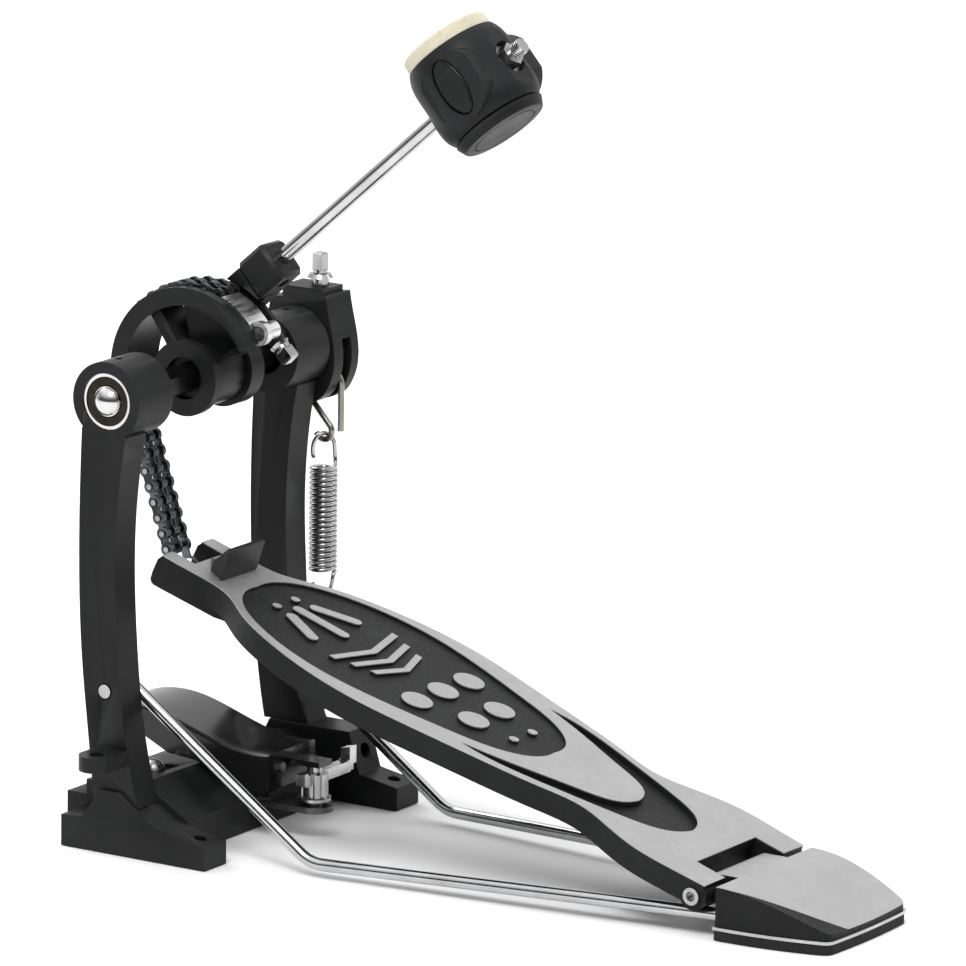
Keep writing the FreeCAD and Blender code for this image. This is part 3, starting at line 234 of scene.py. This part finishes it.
# ------------------------------------------------------------------ materials
def powder_coat(name, level, rough, grain=1100.0):
    """Black powder coat: fine orange peel, faint tone drift, painted highlights along the edges."""
    m = Nodes(name)
    broad = m.noise(38.0, 4.0)
    fine = m.noise(grain, 2.0)
    tone = m.blend(m.remap(broad, 0.3, 0.7, 0.0, 1.0), grey(level * 0.7, 0.1), grey(level * 1.4, 0.12))
    speck = m.remap(m.noise(2600.0, 1.0), 0.68, 0.8, 0.0, 0.25)
    tone = m.blend(speck, tone, grey(level * 3.0, 0.05))
    # Painted highlight: the coat is lighter along convex edges.
    tone = m.blend(m.math("MULTIPLY", m.edges(), 0.25), tone, grey(0.07, 0.04))
    m.bump(fine, 0.03)
    m.bump(broad, 0.05)
    rough_level = m.remap(broad, 0.3, 0.7, rough - 0.06, rough + 0.08)
    return m.finish(tone, rough_level, Specular_IOR_Level=0.13)


def gloss_paint(name):
    """Glossy black paint with a slight wave and a little dust."""
    m = Nodes(name)
    wave = m.noise(90.0, 2.0)
    dust = m.remap(m.noise(1900.0, 2.0), 0.62, 0.8, 0.0, 0.2)
    tone = m.blend(dust, grey(0.006, 0.08), grey(0.03, 0.02))
    m.bump(wave, 0.04)
    return m.finish(tone, m.remap(wave, 0.3, 0.7, 0.14, 0.24),
                    Specular_IOR_Level=0.3, Coat_Weight=0.25, Coat_Roughness=0.1)


def bright_metal(name, base, rough, tint=0.0, streak=(300.0, 300.0, 40.0)):
    """Plated steel with faint polishing streaks and slightly cloudy patches."""
    m = Nodes(name)
    lines = m.noise(1.0, 3.0, vector=m.scaled(streak))
    cloud = m.noise(70.0, 3.0)
    tone = m.blend(m.remap(cloud, 0.3, 0.7, 0.0, 1.0), grey(base * 0.88, tint), grey(base * 1.08, tint))
    streaks = m.remap(lines, 0.3, 0.7, rough * 0.7, rough * 1.5)
    roughness = m.math("ADD", streaks, m.remap(cloud, 0.4, 0.8, 0.0, 0.04))
    m.bump(lines, 0.006)
    return m.finish(tone, roughness, 1.0)


def two_tone(name, mask_of):
    """Brushed aluminium where the mask is 1, black casting skin elsewhere."""
    m = Nodes(name)
    mask = mask_of(m)
    brushed = m.noise(1.0, 4.0, 0.6, vector=m.scaled((2600.0, 260.0, 260.0)))
    cloud = m.noise(55.0, 4.0)
    mottled = m.noise(700.0, 3.0)
    silver = m.blend(m.remap(brushed, 0.3, 0.7, 0.0, 1.0), grey(0.36, -0.005), grey(0.50, -0.005))
    silver = m.blend(m.remap(cloud, 0.35, 0.7, 0.0, 0.35), silver, grey(0.34, 0.01))
    black = m.blend(m.remap(cloud, 0.3, 0.7, 0.0, 1.0), grey(0.007, 0.1), grey(0.012, 0.12))
    black = m.blend(m.remap(mottled, 0.66, 0.78, 0.0, 0.3), black, grey(0.05, 0.08))
    tone = m.blend(mask, black, silver)
    matt = m.remap(mottled, 0.3, 0.7, 0.42, 0.58)
    satin = m.remap(brushed, 0.3, 0.7, 0.36, 0.5)
    rough = m.number_blend(mask, matt, satin)
    height = m.number_blend(mask, mottled, brushed)
    m.bump(height, 0.03)
    return m.finish(tone, rough, m.math("MULTIPLY", mask, 0.8), Specular_IOR_Level=0.16)


def tread_mask(m):
    """1 on the tread plane of the footboard, in the board's rest place."""
    xyz = m.axes()
    c, s = math.cos(BOARD_SLOPE), math.sin(BOARD_SLOPE)
    height = m.math("SUBTRACT", m.math("MULTIPLY", xyz[2], c), m.math("MULTIPLY", xyz[1], s))
    level = (BOARD_TIP[1] * c - BOARD_TIP[0] * s) * MM
    return m.remap(height, level - 0.0005, level - 0.00035, 0.0, 1.0)


def heel_mask(m):
    """1 on the heel casting's upward faces, short of the black shoulder that widens to the rear."""
    place = m.axes()
    back = m.math("POWER", m.remap(place[1], SHOULDER_REAR_Y, SHOULDER_FRONT_Y, 1.0, 0.0), SHOULDER_BOW)
    from_edge = m.math("ADD", place[0], SHOULDER_EDGE)
    inward = m.math("SUBTRACT", from_edge, m.math("MULTIPLY", back, SHOULDER_REACH))
    geometry = m.add("ShaderNodeNewGeometry")
    turned = m.add("ShaderNodeVectorTransform", vector_type="NORMAL",
                   convert_from="WORLD", convert_to="OBJECT")
    m.link(geometry.outputs["True Normal"], turned.inputs[0])
    up = m.add("ShaderNodeSeparateXYZ")
    m.link(turned.outputs[0], up.inputs[0])
    facing_up = m.remap(up.outputs[2], 0.8, 0.84, 0.0, 1.0)
    return m.math("MULTIPLY", facing_up, m.remap(inward, 0.0, 0.0003, 0.0, 1.0))


def rubber(name):
    """Matt black rubber with a dusty bloom."""
    m = Nodes(name)
    fine = m.noise(900.0, 4.0)
    broad = m.noise(45.0, 3.0)
    tone = m.blend(m.remap(broad, 0.3, 0.7, 0.0, 1.0), grey(0.007), grey(0.015))
    dust = m.remap(m.noise(320.0, 4.0), 0.6, 0.75, 0.0, 0.2)
    tone = m.blend(dust, tone, grey(0.05, -0.05))
    m.bump(fine, 0.06)
    return m.finish(tone, m.remap(fine, 0.3, 0.7, 0.68, 0.88), Specular_IOR_Level=0.3)


def plastic(name, level, low, high, grain):
    """Moulded black plastic with a spark-eroded grain and painted highlights along its edges."""
    m = Nodes(name)
    cells = m.voronoi(grain)
    broad = m.noise(60.0, 3.0)
    tone = m.blend(m.remap(broad, 0.3, 0.7, 0.0, 1.0), grey(level * 0.8, 0.1), grey(level * 1.25, 0.12))
    # Painted highlight: the plastic is lighter along convex edges.
    tone = m.blend(m.math("MULTIPLY", m.edges(0.53, 0.62), 0.15), tone, grey(0.06, 0.03))
    m.bump(cells, 0.03, 0.7)
    return m.finish(tone, m.remap(broad, 0.3, 0.7, low, high), Specular_IOR_Level=0.16)


def felt(name):
    """Pressed wool felt: fibres, pilling and a warm uneven cream."""
    m = Nodes(name)
    fibre = m.noise(1.0, 5.0, 0.7, vector=m.scaled((1500.0, 420.0, 1500.0)))
    swirl = m.noise(260.0, 5.0, 0.65)
    patch = m.noise(50.0, 3.0)
    tone = m.blend(m.remap(patch, 0.3, 0.7, 0.0, 1.0), (0.50, 0.45, 0.33, 1), (0.60, 0.55, 0.42, 1))
    tone = m.blend(m.remap(fibre, 0.35, 0.7, 0.0, 0.5), tone, (0.72, 0.68, 0.55, 1))
    tone = m.blend(m.remap(swirl, 0.58, 0.75, 0.0, 0.5), tone, (0.38, 0.32, 0.21, 1))
    m.bump(fibre, 0.35)
    m.bump(swirl, 0.5)
    return m.finish(tone, 0.95, Sheen_Weight=0.5, Sheen_Roughness=0.5, Specular_IOR_Level=0.15)


def chain_metal(name):
    """Black-oxide chain plates with bright rivet ends."""
    m = Nodes(name)
    across = m.math("ABSOLUTE", m.axes()[0])
    rivet = m.remap(across, CHAIN_RIVET_FROM * MM, (CHAIN_RIVET_FROM + 0.1) * MM, 0.0, 1.0)
    wear = m.remap(m.noise(420.0, 4.0), 0.5, 0.72, 0.0, 1.0)
    oil = m.noise(120.0, 3.0)
    dark = m.blend(wear, grey(0.03, 0.25), grey(0.09, 0.18))
    dark = m.blend(m.math("MULTIPLY", m.edges(), 0.4), dark, grey(0.25, 0.06))
    tone = m.blend(rivet, dark, grey(0.34, 0.02))
    m.bump(m.noise(1500.0, 2.0), 0.02)
    return m.finish(tone, m.remap(oil, 0.3, 0.7, 0.24, 0.45), 0.85)


def grease_shield(name):
    """Near-black oiled washer with faint rings about the axle."""
    m = Nodes(name)
    xyz = m.axes()
    up = m.math("SUBTRACT", xyz[2], AXLE_Z * MM)
    squares = m.math("ADD", m.math("MULTIPLY", xyz[1], xyz[1]), m.math("MULTIPLY", up, up))
    reach = m.math("SQRT", squares)
    rings = m.math("SINE", m.math("MULTIPLY", reach, 9000.0))
    film = m.noise(400.0, 3.0)
    tone = m.blend(m.remap(film, 0.3, 0.7, 0.0, 1.0), (0.010, 0.007, 0.004, 1), (0.028, 0.02, 0.011, 1))
    m.bump(rings, 0.02)
    return m.finish(tone, m.remap(film, 0.3, 0.7, 0.3, 0.45), 0.7)


def axle_metal(name):
    """Dark hexagon shaft whose turned ends are bright."""
    m = Nodes(name)
    across = m.math("ABSOLUTE", m.axes()[0])
    end = m.remap(across, AXLE_BRIGHT_FROM * MM, (AXLE_BRIGHT_FROM + 0.5) * MM, 0.0, 1.0)
    cloud = m.noise(70.0, 3.0)
    dark = m.blend(m.remap(cloud, 0.3, 0.7, 0.0, 1.0), grey(0.02, 0.05), grey(0.045, 0.05))
    bright = m.blend(m.remap(cloud, 0.3, 0.7, 0.0, 1.0), grey(0.5), grey(0.62))
    m.bump(m.noise(1400.0, 2.0), 0.006)
    satin = m.remap(cloud, 0.3, 0.7, 0.26, 0.36)
    polished = m.remap(cloud, 0.3, 0.7, 0.08, 0.12)
    rough = m.number_blend(end, satin, polished)
    return m.finish(m.blend(end, dark, bright), rough, 0.95)


MATERIALS = {
    "black_casting": powder_coat("black powder coat", 0.0075, 0.38),
    "wheel_black": powder_coat("black wheel coat", 0.007, 0.34, 1500.0),
    "stop_black": powder_coat("black stop coat", 0.0075, 0.38),
    "wing_cast": bright_metal("plated wing", 0.5, 0.2),
    "black_screw": bright_metal("black oxide steel", 0.06, 0.35, 0.05),
    "lever_black": gloss_paint("gloss black lever"),
    "grey_steel": bright_metal("dark plated plate", 0.13, 0.36, 0.03, (60.0, 900.0, 900.0)),
    "zinc_screw": bright_metal("zinc plated steel", 0.40, 0.24, -0.02),
    "plated_rod": bright_metal("plated stay rod", 0.5, 0.12, 0.03, (700.0, 60.0, 700.0)),
    "bearing_steel": bright_metal("bearing steel", 0.6, 0.10, -0.03),
    "bearing_cage": grease_shield("bearing shield"),
    "axle_steel": axle_metal("dark axle steel"),
    "strap_chrome": bright_metal("strap chrome", 0.75, 0.3, 0.0, (80.0, 600.0, 600.0)),
    "bolt_chrome": bright_metal("bolt chrome", 0.38, 0.18),
    "rod_chrome": bright_metal("rod chrome", 0.5, 0.09, 0.0, (600.0, 60.0, 60.0)),
    "hook_nickel": bright_metal("yellow zinc wire", 0.3, 0.26, -0.16),
    "spring_steel": bright_metal("bright spring wire", 0.4, 0.16),
    "base_plate": bright_metal("heel base plate", 0.45, 0.26, 0.0, (60.0, 900.0, 900.0)),
    "board_aluminium": two_tone("board two tone", tread_mask),
    "heel_aluminium": two_tone("heel two tone", heel_mask),
    "pad_rubber": rubber("rubber pad"),
    "head_plastic": plastic("head plastic", 0.010, 0.40, 0.52, 2200.0),
    "cap_plastic": plastic("cap plastic", 0.008, 0.40, 0.52, 2600.0),
    "insert_plastic": plastic("insert plastic", 0.009, 0.16, 0.24, 3000.0),
    "felt_cream": felt("cream felt"),
    "chain_dark": chain_metal("chain steel"),
}


SLOT_OF = {entry["node"]: entry["material_slot"] for entry in frame["record"]["subparts"]}
for node_name, node in frame["nodes"].items():
    node.data.materials.clear()
    node.data.materials.append(MATERIALS[SLOT_OF[node_name]])


# ------------------------------------------------------------------ mesh helpers
def in_scene(name, data, slot=None):
    """A new object for some mesh, light or camera data, with a slot's material if one is named."""
    obj = bpy.data.objects.new(name, data)
    bpy.context.scene.collection.objects.link(obj)
    if slot:
        data.materials.append(MATERIALS[slot])
    return obj


def new_object(name, mesh, body, slot):
    """A new piece that rides on a body."""
    obj = in_scene(name, mesh, slot)
    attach(obj, body)
    return obj


def mesh_from(bm, name):
    """A smooth-shaded mesh from a bmesh, which is freed."""
    mesh = bpy.data.meshes.new(name)
    bm.normal_update()
    bm.to_mesh(mesh)
    bm.free()
    for face in mesh.polygons:
        face.use_smooth = True
    return mesh


def softened(node, width_mm):
    """A bevelled copy of a CAD node, shown in its place."""
    source = frame["nodes"][node]
    bm = bmesh.new()
    bm.from_mesh(source.data)
    bmesh.ops.remove_doubles(bm, verts=bm.verts, dist=2e-6)
    bmesh.ops.dissolve_limit(bm, angle_limit=math.radians(0.6), verts=bm.verts, edges=bm.edges)
    obj = new_object(node + "_soft", mesh_from(bm, node + "_soft"), source["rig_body"], SLOT_OF[node])
    bevel = obj.modifiers.new("edge", "BEVEL")
    bevel.width = width_mm * MM
    bevel.segments = 2
    bevel.limit_method = "ANGLE"
    bevel.angle_limit = math.radians(34.0)
    bevel.harden_normals = True
    bevel.use_clamp_overlap = True
    obj.data.set_sharp_from_angle(angle=math.radians(40.0))
    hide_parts(node)


# CAD nodes are shaded smooth, with their real edges kept sharp.
for node in frame["nodes"].values():
    for face in node.data.polygons:
        face.use_smooth = True
    node.data.set_sharp_from_angle(angle=math.radians(32.0))
    node.data.normals_split_custom_set([(0.0, 0.0, 0.0)] * len(node.data.loops))


# ------------------------------------------------------------------ wound spring
def tube(points, radius, sides):
    """Round wire through a list of points, ends capped."""
    bm = bmesh.new()
    rings = []
    count = len(points)
    side = None
    for k, point in enumerate(points):
        ahead = points[min(k + 1, count - 1)]
        back = points[max(k - 1, 0)]
        way = (ahead - back).normalized()
        if side is None:
            side = way.orthogonal().normalized()
        side = (side - way * side.dot(way)).normalized()
        other = way.cross(side)
        ring = []
        for j in range(sides):
            a = 2 * math.pi * j / sides
            ring.append(bm.verts.new(point + (side * math.cos(a) + other * math.sin(a)) * radius))
        rings.append(ring)
    for a, b in zip(rings, rings[1:]):
        for j in range(sides):
            bm.faces.new((a[j], a[(j + 1) % sides], b[(j + 1) % sides], b[j]))
    bm.faces.new(list(reversed(rings[0])))
    bm.faces.new(rings[-1])
    return bm


def eased(points, first, last, passes):
    """Rounds the corners of a point run between two indices."""
    for _ in range(passes):
        fresh = list(points)
        for k in range(first, last):
            fresh[k] = points[k] * 0.5 + (points[k - 1] + points[k + 1]) * 0.25
        points[:] = fresh


def wound_spring():
    """Coil with a hook through the eye bolt and a ring over the wire hook."""
    low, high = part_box("tension_spring")
    cx, cy = (low.x + high.x) / 2, (low.y + high.y) / 2
    coil = SPRING_COIL * MM
    rise = (COIL_HIGH - COIL_LOW) * MM
    start = math.radians(-90)
    turns = COIL_TURNS + (RING_TURN - start) / (2 * math.pi)
    points = [Vector((cx, y * MM, z * MM)) for y, z in LOWER_HOOK]
    join = len(points)
    steps = int(turns * 30)
    for k in range(steps + 1):
        angle = start + turns * 2 * math.pi * k / steps
        x, y = cx + coil * math.cos(angle), cy + coil * math.sin(angle)
        points.append(Vector((x, y, COIL_LOW * MM + rise * k / steps)))
    leave = len(points)
    flat = Vector((math.cos(RING_TURN), math.sin(RING_TURN), 0))
    middle = Vector((cx, cy, RING_Z * MM))
    # The last turn rises into one side of the ring.
    for out, drop in ((4.75, 5.0), (4.65, 2.6)):
        points.append(middle + flat * out * MM - Vector((0, 0, drop * MM)))
    # The ring goes over the wire hook as a half ellipse.
    for k in range(19):
        a = math.pi * k / 18
        up = Vector((0, 0, RING_TALL * MM * math.sin(a)))
        points.append(middle + flat * (RING_WIDE * MM * math.cos(a)) + up)
    # Its open end hangs free on the other side.
    for out, drop in ((4.5, 1.6), (4.2, 3.2)):
        points.append(middle - flat * out * MM - Vector((0, 0, drop * MM)))
    eased(points, 1, join + 3, 3)
    eased(points, leave - 4, leave + 4, 5)
    mesh = mesh_from(tube(points, SPRING_WIRE * MM, 10), "tension_spring_wire")
    obj = in_scene("tension_spring_wire", mesh, "spring_steel")
    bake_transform(obj)
    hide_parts("tension_spring")


wound_spring()


# ------------------------------------------------------------------ threads
def thread(name, body, slot, base, axis, radius, length, pitch):
    """Raised screw thread round a plain rod: a ridge whose two feet are inside the rod."""
    way = Vector(axis).normalized()
    side = way.orthogonal().normalized()
    other = way.cross(side)
    bm = bmesh.new()
    steps = 24
    total = int(length / pitch * steps)
    rows = []
    for k in range(total + 1):
        a = 2 * math.pi * k / steps
        out = side * math.cos(a) + other * math.sin(a)
        centre = Vector(base) + way * (pitch * k / steps)
        foot = centre + out * (radius - 0.08 * MM)
        crest = centre + out * (radius + 0.16 * MM)
        half_foot = way * pitch * 0.38
        rows.append([bm.verts.new(point) for point in (foot - half_foot, crest, foot + half_foot)])
    for a, b in zip(rows, rows[1:]):
        bm.faces.new((a[0], a[1], b[1], b[0]))
        bm.faces.new((a[1], a[2], b[2], b[1]))
    new_object(name, mesh_from(bm, name), body, slot)


def beater_point(x, n, d):
    """A point of the beater's own frame, in the row frame."""
    c, s = math.cos(ROD_LEAN), math.sin(ROD_LEAN)
    return Vector((x, c * n - s * d, AXLE_Z + s * n + c * d)) * MM


# ------------------------------------------------------------------ softened castings
# Bevel widths in millimetres.
SOFT_EDGES = {
    "base_crossbar": 0.7,
    "left_foot": 0.8,
    "right_foot": 0.8,
    "beater_holder": 0.9,
    "toe_stop": 0.7,
    "clamp_plate": 0.35,
    "left_post": 1.0,
    "right_post": 1.0,
    "drive_wheel": 0.6,
    "spring_rocker": 0.7,
}
for node_name, width in SOFT_EDGES.items():
    softened(node_name, width)

rod_way = beater_point(0, 0, 1) - beater_point(0, 0, 0)
thread("rod_thread", "beater_rod", "rod_chrome", beater_point(*BEATER_ROD, ROD_THREAD_START), rod_way,
       ROD_RADIUS * MM, ROD_THREAD_LENGTH * MM, THREAD_PITCH * MM)
thread("eye_thread", "frame", "zinc_screw", Vector(EYE_BOLT_FOOT) * MM, (0, 0, 1),
       EYE_BOLT_RADIUS * MM, EYE_THREAD_LENGTH * MM, THREAD_PITCH * MM)


# ------------------------------------------------------------------ studio
LIT_POINT = Vector((0, -0.1, 0.14))
FLOOR_HALF = 12.0
FLOOR_DROP = 0.0003
# Name, place in metres, width in metres and power in watts.
LIGHTS = (
    ("key", (-1.3, -0.6, 2.0), 0.9, 34.0),
    ("fill", (1.6, -1.8, 1.4), 1.2, 8.0),
    ("back", (0.4, 1.8, 1.9), 1.2, 22.0),
)


def pale_floor():
    """A pale matt floor just under the feet."""
    mesh = bpy.data.meshes.new("floor")
    r = FLOOR_HALF
    mesh.from_pydata([(-r, -r, 0), (r, -r, 0), (r, r, 0), (-r, r, 0)], [], [(0, 1, 2, 3)])
    m = Nodes("pale floor")
    mesh.materials.append(m.finish(m.blend(m.noise(1.5, 3.0), grey(0.86), grey(0.9)), 0.7))
    floor = in_scene("floor", mesh)
    floor.location.z = -FLOOR_DROP


def soft_light(name, place, size, power):
    """A square area light that faces the pedal."""
    light = bpy.data.lights.new(name, "AREA")
    light.size = size
    light.energy = power
    obj = in_scene(name, light)
    obj.location = place
    obj.rotation_mode = "QUATERNION"
    obj.rotation_quaternion = (LIT_POINT - Vector(place)).to_track_quat("-Z", "Y")


# The camera's level line of sight.
AWAY = (0.84, 0.54, 0.0)


def sky(tree):
    """White overhead and beyond the pedal, dim on the viewer's side near the horizon."""
    background = tree.nodes["Background"]
    coord = tree.nodes.new("ShaderNodeTexCoord")
    split = tree.nodes.new("ShaderNodeSeparateXYZ")
    tree.links.new(coord.outputs["Generated"], split.inputs[0])
    away = tree.nodes.new("ShaderNodeVectorMath")
    away.operation = "DOT_PRODUCT"
    away.inputs[1].default_value = AWAY
    tree.links.new(coord.outputs["Generated"], away.inputs[0])
    levels = []
    overhead = (split.outputs[2], (0.25, 0.75, 0.0, 1.35))
    beyond = (away.outputs["Value"], (-0.1, 0.7, 0.05, 1.0))
    for source, span in (overhead, beyond):
        ramp = tree.nodes.new("ShaderNodeMapRange")
        tree.links.new(source, ramp.inputs["Value"])
        for key, number in zip(("From Min", "From Max", "To Min", "To Max"), span):
            ramp.inputs[key].default_value = number
        levels.append(ramp.outputs["Result"])
    pick = tree.nodes.new("ShaderNodeMath")
    pick.operation = "MAXIMUM"
    tree.links.new(levels[0], pick.inputs[0])
    tree.links.new(levels[1], pick.inputs[1])
    background.inputs[0].default_value = (1, 1, 1, 1)
    tree.links.new(pick.outputs[0], background.inputs[1])


def studio():
    """Pale floor, white surroundings and three soft lights."""
    pale_floor()
    world = bpy.data.worlds.new("studio")
    bpy.context.scene.world = world
    world.use_nodes = True
    sky(world.node_tree)
    for row in LIGHTS:
        soft_light(*row)
    bpy.context.scene.view_settings.view_transform = "Standard"


def photo_camera():
    """Camera at the photograph's viewing angle."""
    az, el, roll = (math.radians(angle) for angle in (CAMERA_AZIMUTH, CAMERA_ELEVATION, CAMERA_ROLL))
    back = Vector((math.sin(az) * math.cos(el), -math.cos(az) * math.cos(el), math.sin(el)))
    side = Vector((math.cos(az), math.sin(az), 0))
    up = back.cross(side)
    right = side * math.cos(roll) + up * math.sin(roll)
    top = up * math.cos(roll) - side * math.sin(roll)
    data = bpy.data.cameras.new("camera")
    cam = in_scene("camera", data)
    place = Matrix.Translation(CAMERA_TARGET + back * CAMERA_DISTANCE)
    cam.matrix_world = place @ Matrix((right, top, back)).transposed().to_4x4()
    data.sensor_width = SENSOR_MM
    data.lens = SENSOR_MM * CAMERA_FOCAL_PX / IMAGE_PX
    data.clip_end = 60.0
    bpy.context.scene.camera = cam


studio()
photo_camera()
